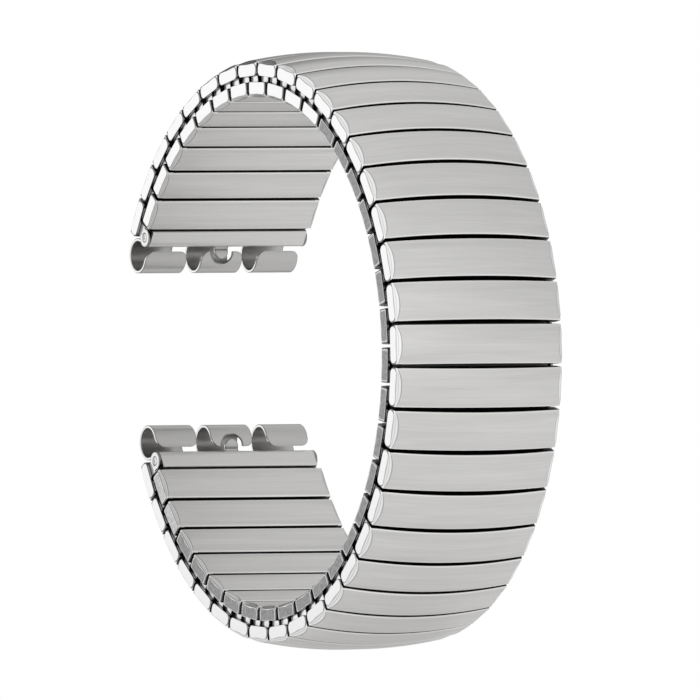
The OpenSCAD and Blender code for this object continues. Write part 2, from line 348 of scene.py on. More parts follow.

# Painted shade and painted highlights, as tones: 1 leaves a finish as it is, less is darker and more is
# lighter
# Painted shade over hidden inner sides and flap backs, and a painted dark line round each flap's edge, a
# little lighter just past it
HIDDEN_SHADE = 0.3
LINE_TONE = 0.28
LINE_END_TONE = 0.6
# A painted highlight keeps the top band of a flap at least this light
TOP_TONE = 0.6
# Painted shade deep in the seams and a painted highlight on the rounded edges beside them
SEAM_STEPS = (0, 0.15, 0.3, 0.45, 0.6, 0.97, 1)
SEAM_TONES = (0.05, 0.07, 0.4, 1.1, 1.3, 1.25, 1)
# Painted reflections along the bevels: a dark band by the face, a grey stripe, and a darker line by the
# flap
BEVEL_STEPS = (0, 0.14, 0.24, 0.52, 0.6, 0.68, 0.76, 0.88, 1)
BEVEL_TONES = (0.48, 0.48, 1, 1, 0.8, 0.8, 1, 1, 0.7)


class Cover:
    """A cover: X runs from seam to seam, Y across the band, and Z away from the row gap.

    Its crown is how far it rises across the band, and its dome how far it rises between its seams. Its flap
    shade darkens its flaps, and its seam dim its face towards the seams, both as painted shade.
    """

    def __init__(self, width, low_z, crown, dome, wall, bevel_w, edge_r, flap_top_r, flap_low_r,
                 flap_shade, seam_dim):
        self.half = width / 2
        self.low_z = low_z
        self.crown = crown
        self.dome = dome
        self.wall = wall
        self.bevel_w = bevel_w
        self.edge_r = edge_r
        self.flap_top_r = flap_top_r
        self.flap_low_r = flap_low_r
        self.flap_shade = flap_shade
        self.seam_dim = seam_dim

    def profile(self, r, top_z, dome):
        """Its outline from one seam over the top to the other."""
        half = self.half
        side_z = (self.low_z + top_z - r) / 2
        points = [(-half, self.low_z), (-half, side_z)]
        points += arc(r - half, top_z - r, r, 180, 90, EDGE_POINTS)
        for x in np.linspace(r - half, half - r, FACE_POINTS)[1:-1]:
            points.append((x, top_z + dome * (1 - (x / (half - r)) ** 2)))
        points += arc(half - r, top_z - r, r, 90, 0, EDGE_POINTS)
        points += [(half, side_z), (half, self.low_z)]
        return np.array(points)

    def rise(self, y):
        return self.crown * (1 - (y / (HALF_W - self.bevel_w)) ** 2)

    def face_end(self, x):
        """Where the face ends across the band: a lens-shaped bevel takes up the rest."""
        bow = 1 - BOW_SHARE * np.clip(np.abs(x) / self.half, 0, 1) ** BOW_POWER
        return FACE_END_Y - (self.bevel_w - FILLET) * bow

    def seam_tones(self, base):
        """Painted shade in the seam, a painted highlight on the rounded edge, and plain over the face but
        for painted shade that grows towards the seams.
        """
        round_up = np.clip((base[:, 1] - FACE_Z + self.edge_r) / self.edge_r, 0, 1)
        across = np.abs(base[:, 0]) / (self.half - self.edge_r)
        dimmed = np.where(across < 1, 1 - self.seam_dim * across ** 3, 1)
        return np.interp(round_up, SEAM_STEPS, SEAM_TONES) * dimmed

    def add_face(self, shape):
        base = self.profile(self.edge_r, FACE_Z, self.dome)
        tones = self.seam_tones(base)
        rows = []
        for share in np.linspace(-1, 1, STATIONS):
            y = share * self.face_end(base[:, 0])
            z = base[:, 1] + self.rise(y)
            z[0] = z[-1] = self.low_z
            rows.append(np.column_stack([base[:, 0], y, z]))
        shape.grid(rows, BRUSHED, tone=np.tile(tones, (STATIONS, 1)), flip=True)
        for side, edge in ((-1, rows[0]), (1, rows[-1])):
            self.add_bevel(shape, side, edge, tones)

    def add_bevel(self, shape, side, edge, tones):
        top = self.profile(self.flap_top_r, FLAP_Z, 0)
        end = np.column_stack([top[:, 0], np.full(len(top), side * FACE_END_Y), top[:, 1]])
        rows = []
        for step in BEVEL_STEPS:
            row = edge + (end - edge) * step
            row[:, 2] += SWELL * math.sin(math.pi * step)
            rows.append(row)
        # Painted reflections across the bevel, over the seam's painted shade and highlight
        shape.grid(rows, BEVEL, flip=side > 0, tone=[tones * tone for tone in BEVEL_TONES])

    def add_inner_side(self, shape):
        """Its inner side, and the lips of its wall at the seams."""
        x = self.half - self.wall
        rows = []
        for y in np.linspace(-FLAP_Y, FLAP_Y, STATIONS):
            z = FACE_Z + self.rise(y) - self.wall
            rows.append([(-x, y, self.low_z), (-x, y, z), (x, y, z), (x, y, self.low_z)])
        # Painted shade over the hidden inner side and the lips
        shape.grid(rows, INSIDE, tone=HIDDEN_SHADE)
        for s in (-1, 1):
            lip = [[(s * self.half, y, self.low_z), (s * x, y, self.low_z)]
                   for y in np.linspace(-FLAP_Y, FLAP_Y, LIP_STATIONS)]
            shape.grid(lip, BRUSHED, flip=s < 0, tone=HIDDEN_SHADE)

    def flap_outline(self):
        r = self.flap_low_r
        x = self.half - r
        low = arc(x, GAP_Z + r, r, 0, -90, FLAP_POINTS) + arc(-x, GAP_Z + r, r, 270, 180, FLAP_POINTS)
        return np.vstack([self.profile(self.flap_top_r, FLAP_Z, 0)[1:-1], low])

    def flap_loops(self):
        """Place across the band, inset and tone: first its back in painted shade, then its edge with a
        painted dark line, then its face, which takes the flap's painted shade.
        """
        face_tones = (LINE_END_TONE, 1.0, (1 + self.flap_shade) / 2, self.flap_shade)
        loops = [(y, inset, HIDDEN_SHADE) for y, inset in FLAP_BACK]
        loops += [(y, inset, LINE_TONE) for y, inset in FLAP_EDGE]
        loops += [(HALF_W, inset, tone) for inset, tone in zip(FLAP_FACE_INSETS, face_tones)]
        return loops

    def add_flaps(self, shape):
        outline = self.flap_outline()
        on_top = outline[:, 1] > FLAP_Z - TOP_BAND
        outward = outline - (0, (GAP_Z + FLAP_Z) / 2)
        outward /= np.linalg.norm(outward, axis=1)[:, None]
        for side in (-1, 1):
            rows, tones = [], []
            for y, inset, tone in self.flap_loops():
                rows.append([(x, side * y, z) for x, z in outline - outward * inset])
                # A painted highlight keeps the top band lighter than the rest of the flap
                tones.append(np.where(on_top, max(tone, TOP_TONE * self.flap_shade), tone))
            shape.grid(rows, POLISHED, closed=True, flip=side < 0, tone=tones)
            shape.polygon(rows[0], POLISHED, turned_over=side < 0, tone=self.flap_shade)
            shape.polygon(rows[-1], POLISHED, turned_over=side > 0, tone=self.flap_shade)

    def draw_in_corners(self, shape):
        """Rounds its four corners, seen from outside, by drawing its ends in towards the middle."""
        for p in shape.points:
            q = max(0.0, abs(p[1]) - HALF_W + CORNER_L) / CORNER_L
            p[0] *= 1 - CORNER_D / self.half * (1 - half_chord(1, q))

    def made_shape(self):
        shape = Shape()
        self.add_face(shape)
        self.add_inner_side(shape)
        self.add_flaps(shape)
        self.draw_in_corners(shape)
        return shape


# Tubes, leaf springs and the finished covers
# Painted shade over the hidden tubes and leaf springs
TUBE_SHADE = 0.5
LEAF_SHADE = 0.6
LEAF_STATIONS = 25
SLEEVE_NARROWER = 0.16
SLEEVE_LIFT = 0.02
BOX_INSET = 0.01
BOX_BELOW_FACE = 0.05


def hollow_box(shape, width, z0, z1, wall):
    """A square tube across the band, open at both ends."""
    def ring(inset):
        x, a, b = width / 2 - inset, z0 + inset, z1 - inset
        return [(-x, a), (x, a), (x, b), (-x, b)]

    outer, inner = ring(0), ring(wall)
    for a, b in ((0, 1), (1, 2), (2, 3), (3, 0)):
        for loop, flip in ((outer, True), (inner, False)):
            rows = [[(loop[i][0], y, loop[i][1]) for i in (a, b)] for y in (-TUBE_Y, TUBE_Y)]
            shape.grid(rows, INSIDE, flip=flip, tone=TUBE_SHADE)
        for y, flip in ((-TUBE_Y, True), (TUBE_Y, False)):
            rows = [[(loop[i][0], y, loop[i][1]) for i in (a, b)] for loop in (outer, inner)]
            shape.grid(rows, INSIDE, flip=flip, tone=TUBE_SHADE)


def leaf_spring(mid_z, bow):
    shape = Shape()
    x = LEAF_W / 2
    rows = []
    for y in np.linspace(-LEAF_Y, LEAF_Y, LEAF_STATIONS):
        z = mid_z - bow * (y / LEAF_Y) ** 2
        rows.append([(-x, y, z), (x, y, z), (x, y, z + LEAF_T), (-x, y, z + LEAF_T)])
    shape.grid(rows, INSIDE, closed=True, caps=True, flip=True, tone=LEAF_SHADE)
    return shape


def spring_tube():
    shape = Shape()
    hollow_box(shape, TUBE_W, GAP_Z, TUBE_TOP_Z, TUBE_T)
    return shape


def outer_cover():
    return Cover(width=OUTER_W, low_z=LIP_Z, crown=0.78, dome=0.18, wall=SHELL_T, bevel_w=0.52, edge_r=0.15,
                 flap_top_r=0.5, flap_low_r=0.5, flap_shade=1.0, seam_dim=0.05).made_shape()


def inner_sleeve(flap_shade=1.0):
    """Drawn a little narrower than its solid, with a thinner wall that keeps the solid's bore."""
    width = INNER_W - SLEEVE_NARROWER
    wall = SLEEVE_T - SLEEVE_NARROWER / 2
    shape = Cover(width=width, low_z=GAP_Z + SLEEVE_LIFT, crown=0.02, dome=0.06, wall=wall, bevel_w=0.4,
                  edge_r=0.18, flap_top_r=0.32, flap_low_r=0.2, flap_shade=flap_shade,
                  seam_dim=0.12).made_shape()
    hollow_box(shape, width - 2 * BOX_INSET, GAP_Z, FACE_Z - BOX_BELOW_FACE, wall)
    return flipped(shape)


# Staples
OUTER_LEG_HALF_W = 0.45
WEB_HALF_W = 0.6
INNER_LEG_HALF_W = 0.35
STAPLE_BEND_R = 0.2
STAPLE_STRAIGHT = 0.12
STAPLE_BEND_POINTS = 6
SHEET_CHAMFER = 0.05


def staple_path():
    """Its middle line across the band and its half widths, from the outer leg's tip to the inner's."""
    r = STAPLE_BEND_R
    n = STAPLE_BEND_POINTS
    y = WEB_Y + WEB_T / 2 - r
    tip = WEB_Y - LEG_L
    top = OUTER_LEG_Z + LEG_T / 2
    low = -INNER_LEG_Z - LEG_T / 2
    points = [(tip, top), (y - STAPLE_STRAIGHT, top)] + arc(y, top - r, r, 90, 0, n)
    points += arc(y, low + r, r, 0, -90, n) + [(y - STAPLE_STRAIGHT, low), (tip, low)]
    half_w = [OUTER_LEG_HALF_W] * 2 + list(np.linspace(OUTER_LEG_HALF_W, WEB_HALF_W, n))
    half_w += list(np.linspace(WEB_HALF_W, INNER_LEG_HALF_W, n)) + [INNER_LEG_HALF_W] * 2
    return np.array(points), half_w


def add_staple(shape, side, edge):
    """A bent strip: leg, web and leg. Its edge is -1 at the front and 1 at the back."""
    points, half_w = staple_path()
    t = WEB_T / 2
    c = SHEET_CHAMFER
    rows = []
    for (y, z), (ny, nz), h in zip(points, line_normals(points), half_w):
        loop = ((-h, -t + c), (-h + c, -t), (h - c, -t), (h, -t + c),
                (h, t - c), (h - c, t), (-h + c, t), (-h, t - c))
        rows.append([(side * WEB_X + a, edge * (y + ny * b), z + nz * b) for a, b in loop])
    shape.grid(rows, POLISHED, closed=True, caps=True, flip=edge < 0)


def stretch_staples():
    shape = Shape()
    for edge in (-1, 1):
        add_staple(shape, -1, edge)
    return shape


def link_staples(k):
    """The staples that move with this link, at both of its sides and both edges of the band."""
    shape = Shape()
    for edge in (-1, 1):
        if k < LINKS:
            add_staple(shape, 1, edge)
        if k > 1 and k - 1 not in STRETCH_SEAMS:
            add_staple(shape, -1, edge)
    return shape


# The last staple's plate with the eye for the hinge pin. X points at the free end.
EYE_SPOKES = 96
EYE_R = PIN_R + 0.02
# Painted shade in the eye and over the plate's back, and painted dark lines round its edge and hole
EYE_SHADE = 0.15
EYE_LINE_W = 0.05
PLATE_SHADE = 0.4
PLATE_LINE_SHADE = 0.3


def plate_spokes():
    """Rays from the pin, each with the plate's reach: round the pin, and square above it."""
    spokes = []
    for degrees in np.linspace(0, 360, EYE_SPOKES + 1)[:-1]:
        u = along(degrees)
        reach = END_R
        if u[1] > 0:
            sides = [(OUTER_LEG_TOP_Z - PIN_Z) / u[1]]
            if abs(u[0]) > 1e-6:
                sides.append((END_WEB_PAST if u[0] > 0 else END_LEG_X - END_LEG_W - PIN_X) / u[0])
            reach = max(reach, min(sides))
        spokes.append((u, reach))
    return spokes


def add_eye_plate(shape, edge):
    """The plate in loops from its hole round its outer edge and back, with a painted dark line round edge
    and hole, and painted shade in the hole and over its back.
    """
    c = SHEET_CHAMFER
    spokes = plate_spokes()
    outside = ((0, c, PLATE_SHADE), (c, 0, PLATE_SHADE), (WEB_T - c, 0, PLATE_LINE_SHADE),
               (WEB_T, c, PLATE_LINE_SHADE), (WEB_T, 2 * c, 1))
    hole = ((WEB_T, 2 * EYE_LINE_W, 1), (WEB_T, EYE_LINE_W, PLATE_LINE_SHADE), (WEB_T, 0, EYE_SHADE),
            (0, 0, EYE_SHADE))

    def loop(y, reaches):
        return [(PIN_X + u[0] * r, edge * (WEB_Y + y), PIN_Z + u[1] * r)
                for (u, _), r in zip(spokes, reaches)]

    rows = [loop(0, [EYE_R] * EYE_SPOKES)]
    rows += [loop(y, [reach - inset for _, reach in spokes]) for y, inset, _ in outside]
    rows += [loop(y, [EYE_R + gap] * EYE_SPOKES) for y, gap, _ in hole]
    tones = [EYE_SHADE] + [tone for _, _, tone in outside + hole]
    shape.grid(rows, POLISHED, closed=True, flip=edge > 0, tone=[[tone] * EYE_SPOKES for tone in tones])


def end_staples():
    shape = Shape()
    for edge in (-1, 1):
        y0, y1 = sorted((edge * (WEB_Y - LEG_L), edge * (WEB_Y + WEB_T)))
        block(shape, WEB_X - OUTER_LEG_HALF_W, WEB_X + OUTER_LEG_HALF_W, y0, y1,
              OUTER_LEG_Z, OUTER_LEG_TOP_Z)
        block(shape, END_LEG_X - END_LEG_W, END_LEG_X, y0, y1, PIN_Z, PIN_Z + PIN_R + WEB_FIT)
        add_eye_plate(shape, edge)
    return shape


# End sleeve and hinge pin
END_CORNER_R = 0.22
END_LAP = 0.5
END_LAP_A = 100
END_SLOT_LAP = 0.1
END_ROLL_POINTS = 30
END_SLOT_POINTS = 16
END_CORNER_POINTS = 6
END_STATIONS = 6
PIN_CHAMFER_L = 0.06
PIN_CHAMFER_R = 0.1
PIN_POINTS = 32


def sheet_outline(path, t):
    """The outline of a bent sheet with this middle line and thickness."""
    points = np.array(path)
    normals = line_normals(points)
    return np.vstack([points + normals * t / 2, (points - normals * t / 2)[::-1]])


def end_sleeve():
    """A sheet rolled round the hinge pin, open where the clip's barrels turn."""
    shape = Shape()
    t = END_WALL
    r = END_R - t / 2
    c = END_CORNER_R
    near = c - END_NEAR_X
    low = PIN_Z - END_R + c
    slot_a = -math.degrees(math.asin((PIN_R + WEB_FIT) / (END_R - t)))
    square = arc(near, low, c - t / 2, 270, 180, END_CORNER_POINTS)
    square += arc(near, -GAP_Z - c, c - t / 2, 180, 90, END_CORNER_POINTS)
    closed = arc(PIN_X, PIN_Z, r, END_LAP_A, -90, END_ROLL_POINTS) + square
    closed.append((PIN_X - END_LAP, -GAP_Z - t / 2))
    slotted = arc(PIN_X, PIN_Z, r, slot_a, -90, END_SLOT_POINTS) + square
    slotted.append((PIN_X - BARREL_R - END_SLOT_LAP, -GAP_Z - t / 2))
    slot_half = CURL_L / 2 + 2 * FIT
    cuts = [-TUBE_Y]
    for i in (-1, 0, 1):
        cuts += [i * CURL_PITCH - slot_half, i * CURL_PITCH + slot_half]
    cuts.append(TUBE_Y)
    for n, (y0, y1) in enumerate(zip(cuts, cuts[1:])):
        path = slotted if n % 2 else closed
        extrude(shape, sheet_outline(path, t)[::-1], y0, y1, BRUSHED, END_STATIONS)
    return shape


def hinge_pin():
    shape = Shape()
    ends = ((-PIN_Y, PIN_R - PIN_CHAMFER_R), (-PIN_Y + PIN_CHAMFER_L, PIN_R))
    rows = []
    for y, r in ends + tuple((-y, r) for y, r in ends[::-1]):
        rows.append([(PIN_X + r * math.cos(a), y, PIN_Z + r * math.sin(a))
                     for a in np.linspace(0, 2 * math.pi, PIN_POINTS + 1)[:-1]])
    shape.grid(rows, POLISHED, closed=True, caps=True, flip=True, cap_finish=BEVEL)
    return shape


# Ring clip: three curls of sheet, in a frame with its origin at the pin and X towards the curls' middle
CURL_MIDDLE = np.array([CLIP_REACH, 0])
BARREL_TURN = 300
FREE_CORNER_R = 1.0
BACK_CORNER_R = 0.6
FREE_EDGE_RUN = 1.25
NOTCH_FINE_RUN = 0.98
NECK_STRIP_L = 0.6
NECK_STRIP_INSET = 0.02
NECK_STRIP_T = CLIP_T - 0.03
TONGUE_T = CLIP_T - 0.02
TONGUE_END_RUN = 0.65
CURL_STATIONS = 60
BARREL_STATIONS = 40
NECK_STATIONS = 6
FREE_EDGE_STATIONS = 26
NOTCH_STATIONS = 16
NECK_STRIP_STATIONS = 5
TONGUE_STATIONS = 16
TONGUE_END_STATIONS = 14
# Painted shade: a dark line beside each rim of the clip's sheet
RIM_SHADE = 0.35
RIM_W = 0.04
RIM_LINE_W = 0.06


def clip_line():
    """Middle line of a curl from its free edge round to its barrel, with the outward normals."""
    points, normals = [], []
    for a in np.linspace(FREE_EDGE_A, NECK_A + 360, CURL_STATIONS):
        points.append(CURL_MIDDLE + CURL_MID_R * along(a))
        normals.append(along(a))
    start = points[-1]
    for q in np.linspace(0, 1, NECK_STATIONS)[1:]:
        points.append(start + along(NECK_A + 90) * NECK_L * q)
        normals.append(along(NECK_A))
    for a in np.linspace(0, BARREL_TURN, BARREL_STATIONS)[1:]:
        points.append(BARREL_MID_R * along(NECK_A - 180 - a))
        normals.append(-along(NECK_A - 180 - a))
    return np.array(points), np.array(normals)


def tongue_line():
    """Middle line of the tongue from its round end to the middle barrel, with its normals."""
    points, normals = [], []
    for a in np.linspace(TONGUE_TIP_A, TONGUE_ROOT_A, TONGUE_STATIONS):
        points.append(CURL_MIDDLE + CURL_MID_R * along(a))
        normals.append(along(a))
    last, last_normal = points[-1], normals[-1]
    root = along(NECK_A - 180) * BARREL_MID_R
    for q in np.linspace(0, 1, NECK_STATIONS)[1:]:
        points.append(last + (root - last) * q)
        normals.append(last_normal)
    return np.array(points), np.array(normals)


def with_stations(points, normals, extra):
    """The same line with more stations where the sheet's edge curves, and its run so far."""
    run = run_length(points)
    stations = np.unique(np.concatenate([run, extra]))
    points = np.column_stack([np.interp(stations, run, points[:, i]) for i in (0, 1)])
    normals = np.column_stack([np.interp(stations, run, normals[:, i]) for i in (0, 1)])
    normals /= np.linalg.norm(normals, axis=1)[:, None]
    return points, normals, stations


def strip(shape, line, left, right, t, columns=8):
    """A sheet along the line from y = left(run) to y = right(run), with painted dark lines of shade along
    its edges.
    """
    c = RIM_W
    h = t / 2
    least = 3 * c
    rows, grain = [], []
    for p, n, run in zip(*line):
        a, b = left(run), right(run)
        if b - a < least:
            middle = (a + b) / 2
            a, b = middle - least / 2, middle + least / 2
        across = [a + c] + list(np.linspace(a + c + RIM_LINE_W, b - c - RIM_LINE_W, columns)) + [b - c]
        loop = [(a, -h + 2 * c), (a, -h + c)] + [(y, -h) for y in across]
        loop += [(b, -h + c), (b, -h + 2 * c), (b, h - 2 * c), (b, h - c)]
        loop += [(y, h) for y in across[::-1]] + [(a, h - c), (a, h - 2 * c)]
        rows.append([(p[0] + n[0] * o, y, p[1] + n[1] * o) for y, o in loop])
        grain.append([(run, y, o) for y, o in loop])
    # Round the loop: part of the first rim, a face, the second rim, the other face, the first rim's rest
    face = [BRUSHED] * (columns + 1)
    kinds = [POLISHED] * 2 + face + [POLISHED] * 5 + face + [POLISHED] * 3
    side = [RIM_SHADE, RIM_SHADE] + [1] * columns + [RIM_SHADE, RIM_SHADE]
    tones = [1] + side + [1, 1] + side + [1]
    shape.grid(rows, kinds * (len(rows) - 1), closed=True, grain=grain, tone=[tones] * len(rows))
    shape.polygon(rows[0], POLISHED, turned_over=True)
    shape.polygon(rows[-1], POLISHED)


def corner_cut(run, r):
    """How far a rounded corner draws the sheet's edge in, at that run from its free edge."""
    return r - half_chord(r, max(0, r - run))


def add_curls(shape):
    """Two whole curls, and a middle one in two strips beside its notch and one behind it."""
    extra = [np.linspace(0, FREE_EDGE_RUN, FREE_EDGE_STATIONS),
             np.linspace(NOTCH_FINE_RUN, NOTCH_R, NOTCH_STATIONS)]
    points, normals, run = with_stations(*clip_line(), np.concatenate(extra))
    half = CURL_L / 2

    def left_edge(q):
        return corner_cut(q, FREE_CORNER_R) - half

    def right_edge(q):
        return half - corner_cut(q, BACK_CORNER_R)

    whole = (points, normals, run)
    for y in (-CURL_PITCH, CURL_PITCH):
        strip(shape, whole, lambda q: y + left_edge(q), lambda q: y + right_edge(q), CLIP_T)
    near, far = run <= NOTCH_R, run >= NOTCH_R
    beside = (points[near], normals[near], run[near])
    strip(shape, beside, left_edge, lambda q: -half_chord(NOTCH_R, q), CLIP_T)
    strip(shape, beside, lambda q: half_chord(NOTCH_R, q), right_edge, CLIP_T)
    strip(shape, (points[far], normals[far], run[far]), lambda q: -half, lambda q: half, CLIP_T)


def add_neck_strip(shape):
    """The strip that joins the three necks."""
    start = CURL_MIDDLE + CURL_MID_R * along(NECK_A)
    half = CURL_PITCH + CURL_L / 2 - NECK_STRIP_INSET
    n = NECK_STRIP_STATIONS
    points = [start + along(NECK_A + 90) * q for q in np.linspace(NECK_STRIP_INSET, NECK_STRIP_L, n)]
    line = (points, np.tile(along(NECK_A), (n, 1)), np.linspace(0, NECK_STRIP_L, n))
    strip(shape, line, lambda q: -half, lambda q: half, NECK_STRIP_T)


def add_tongue(shape):
    half = TONGUE_W / 2

    def round_end(run):
        return half_chord(half, max(0, half - run))

    line = with_stations(*tongue_line(), np.linspace(0, TONGUE_END_RUN, TONGUE_END_STATIONS))
    strip(shape, line, lambda q: -round_end(q), round_end, TONGUE_T, columns=6)


def ring_clip():
    shape = Shape()
    add_curls(shape)
    add_neck_strip(shape)
    add_tongue(shape)
    points = np.array(shape.points)
    c, s = along(CLIP_ANGLE)
    x = PIN_X + points[:, 0] * c - points[:, 2] * s
    z = PIN_Z + points[:, 0] * s + points[:, 2] * c
    shape.points = np.column_stack([x, points[:, 1], z]).tolist()
    return shape


# Node trees
class Nodes:
    """Short calls for building a material's or the world's node tree."""

    def __init__(self, owner):
        owner.use_nodes = True
        self.nodes = owner.node_tree.nodes
        self.links = owner.node_tree.links

    def put(self, socket, value):
        if isinstance(value, bpy.types.NodeSocket):
            self.links.new(value, socket)
        else:
            socket.default_value = value

    def new(self, kind, **settings):
        node = self.nodes.new(kind)
        for name, value in settings.items():
            setattr(node, name, value)
        return node

    def math(self, operation, *values):
        node = self.new("ShaderNodeMath", operation=operation)
        for socket, value in zip(node.inputs, values):
            self.put(socket, value)
        return node.outputs[0]

    def scaled(self, vector, factor):
        node = self.new("ShaderNodeVectorMath", operation="SCALE")
        self.put(node.inputs[0], vector)
        self.put(node.inputs["Scale"], factor)
        return node.outputs[0]

    def attribute(self, name, output):
        return self.new("ShaderNodeAttribute", attribute_name=name).outputs[output]

    def noise(self, at, scale, detail):
        mapping = self.new("ShaderNodeMapping")
        mapping.inputs["Scale"].default_value = scale
        self.put(mapping.inputs["Vector"], at)
        node = self.new("ShaderNodeTexNoise")
        node.inputs["Scale"].default_value = 1.0
        node.inputs["Detail"].default_value = detail
        self.put(node.inputs["Vector"], mapping.outputs["Vector"])
        return node.outputs["Fac"]

    def ranged(self, value, low, high, smooth=True):
        """Each of low and high is a pair: a value and what it becomes."""
        node = self.new("ShaderNodeMapRange", interpolation_type="SMOOTHSTEP" if smooth else "LINEAR")
        node.inputs["From Min"].default_value, node.inputs["To Min"].default_value = low
        node.inputs["From Max"].default_value, node.inputs["To Max"].default_value = high
        self.put(node.inputs["Value"], value)
        return node.outputs["Result"]

    def camera_split(self, seen_elsewhere, seen_by_camera):
        """One shader for the camera's own rays, and another for all the others."""
        mix = self.new("ShaderNodeMixShader")
        self.put(mix.inputs["Fac"], self.new("ShaderNodeLightPath").outputs["Is Camera Ray"])
        self.put(mix.inputs[1], seen_elsewhere)
        self.put(mix.inputs[2], seen_by_camera)
        return mix.outputs[0]


# Finishes
WARM = (1.0, 0.992, 0.978)
PLAIN = (1.0, 1.0, 1.0)
BAND_SHARE = 0.8
ROUGH_SWING = 0.12
BUMP_DEPTH = 0.00002

# Layers of noise: their scale along X, Y and Z, and their detail
LINES = ((26.0, 0.28, 1.0), 3.0)
BANDS = ((5.0, 0.10, 1.0), 2.0)
BROAD = ((1.5, 0.06, 1.0), 1.0)
SPOTS = ((3.5, 3.5, 3.5), 3.0)


def steel(name, tone, rough, streak=0.0, fine=0.0, tint=WARM, mottle=0.0):
    """Bare steel. Streak is how much its brushing shows, fine its bumps and mottle its spots."""
    material = bpy.data.materials.new(name)
    net = Nodes(material)
    bsdf = net.nodes["Principled BSDF"]
    bsdf.inputs["Metallic"].default_value = 1.0
    grain = net.attribute("grain", "Vector")
    lines = net.noise(grain, *LINES)
    level = net.math("MULTIPLY_ADD", lines, streak, 1 - streak / 2)
    for layer in (net.noise(grain, *BANDS), net.noise(grain, *BROAD)):
        share = streak * BAND_SHARE
        level = net.math("MULTIPLY", level, net.math("MULTIPLY_ADD", layer, share, 1 - share / 2))
    if mottle:
        spots = net.noise(grain, *SPOTS)
        level = net.math("MULTIPLY", level, net.math("MULTIPLY_ADD", spots, mottle, 1 - mottle / 2))
    # The points' tone multiplies in their painted shade and painted highlights
    level = net.math("MULTIPLY", level, net.attribute("tone", "Fac"))
    net.put(bsdf.inputs["Base Color"], net.scaled(tuple(tone * t for t in tint), level))
    roughness = net.math("MULTIPLY_ADD", lines, ROUGH_SWING, rough - ROUGH_SWING / 2)
    net.put(bsdf.inputs["Roughness"], roughness)
    if fine:
        bump = net.new("ShaderNodeBump")
        bump.inputs["Strength"].default_value = fine
        bump.inputs["Distance"].default_value = BUMP_DEPTH
        net.put(bump.inputs["Height"], lines)
        net.put(bsdf.inputs["Normal"], bump.outputs["Normal"])
    return material


brushed = steel("brushed_steel", 0.74, 0.36, streak=0.18, fine=0.25)
inner_brushed = steel("brushed_steel_inner", 0.75, 0.36, streak=0.18, fine=0.25)
outer_bevel = steel("bevel_steel", 0.98, 0.2, tint=PLAIN)
inner_bevel = steel("bevel_steel_inner", 0.62, 0.24)
satin = steel("satin_steel", 0.97, 0.22, tint=PLAIN, mottle=1.0)
pin_end = steel("pin_end", 0.5, 0.3)
polished = steel("polished_steel", 0.99, 0.16, tint=PLAIN)
# Painted shade: a darker steel for the hidden insides
inside = steel("inside_steel", 0.30, 0.45)
clip_brushed = steel("brushed_steel_clip", 0.57, 0.34, streak=0.12, fine=0.2)
bar_brushed = steel("brushed_steel_bar", 0.74, 0.34, streak=0.14, fine=0.2)
bright = steel("bright_wire", 0.93, 0.22, tint=PLAIN)

# Each list gives the brushed, polished, inside and bevel finish; the inside one is darker, as painted shade
link_looks = [brushed, polished, inside, outer_bevel]
sleeve_looks = [inner_brushed, polished, inside, inner_bevel]
satin_sleeve_looks = [inner_brushed, satin, inside, inner_bevel]
staple_looks = [brushed, bright, inside, pin_end]
clip_looks = [clip_brushed, polished, inside]
bar_looks = [bar_brushed, polished, inside]


# Pieces on their bodies
# Links whose sleeves get painted shade over their flaps and a satin polish, and how dark the shade is
SATIN_SHADED_LINKS = range(12, 35)
SATIN_HALF_SHADED_LINKS = (35, 36)
FLAP_SHADE_TONE = 0.33
HALF_FLAP_SHADE_TONE = 0.62
SLEEVE_GRAIN = 50
END_GRAIN = 90
CLIP_GRAIN = 95

cover = outer_cover()
tube = spring_tube()
outer_leaf = leaf_spring(OUTER_LEAF_Z, OUTER_LEAF_BOW)
inner_leaf = flipped(leaf_spring(INNER_LEAF_Z, INNER_LEAF_BOW))
sleeve = inner_sleeve()
# Sleeves with painted shade over their flaps
shaded_flap_sleeve = inner_sleeve(FLAP_SHADE_TONE)
half_shaded_flap_sleeve = inner_sleeve(HALF_FLAP_SHADE_TONE)


def add_piece(shape, name, matrix, body, looks, mirror=False, number=0, stands_for=()):
    """A piece that rides on a body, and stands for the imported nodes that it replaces."""
    piece = shape.made(name, matrix, looks, mirror=mirror, number=number)
    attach(piece, body)
    if stands_for:
        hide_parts(*stands_for)


def add_link(k):
    body = f"link_{k:02d}"
    at = link_frame(k)
    add_piece(cover, body + "_cover", at, body, link_looks, number=k, stands_for=[body])
    add_piece(tube, body + "_tube", at, body, link_looks, number=k)
    add_piece(outer_leaf, body + "_leaf_spring", at, body, link_looks, number=k)
    staples = link_staples(k)
    if staples.points:
        add_piece(staples, body + "_staples", at, body, staple_looks, number=k)
    if k < LINKS:
        add_sleeve(k, body)


def add_sleeve(k, body):
    """The inner sleeve after this link. Some of them get painted shade over their flaps, with a rougher,
    mottled polish.
    """
    shape, looks = sleeve, sleeve_looks
    if k in SATIN_SHADED_LINKS:
        shape, looks = shaded_flap_sleeve, satin_sleeve_looks
    elif k in SATIN_HALF_SHADED_LINKS:
        shape, looks = half_shaded_flap_sleeve, satin_sleeve_looks
    at = seam_frame(k)
    add_piece(shape, body + "_sleeve", at, body, looks, number=k + SLEEVE_GRAIN)
    add_piece(inner_leaf, body + "_sleeve_spring", at, body, sleeve_looks,
              number=k + SLEEVE_GRAIN)


def add_stretch_staples(j):
    """Two staples at a stretch seam, baked in place where they stand at rest, in place of the imported
    node.
    """
    name = f"stretch_staples_{j:02d}"
    at = link_frame(j + 1)
    pair = stretch_staples().made(name + "_pair", at, staple_looks, number=j)
    if j >= MIDDLE:
        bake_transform(pair)
    else:
        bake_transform(pair)
    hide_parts(name)


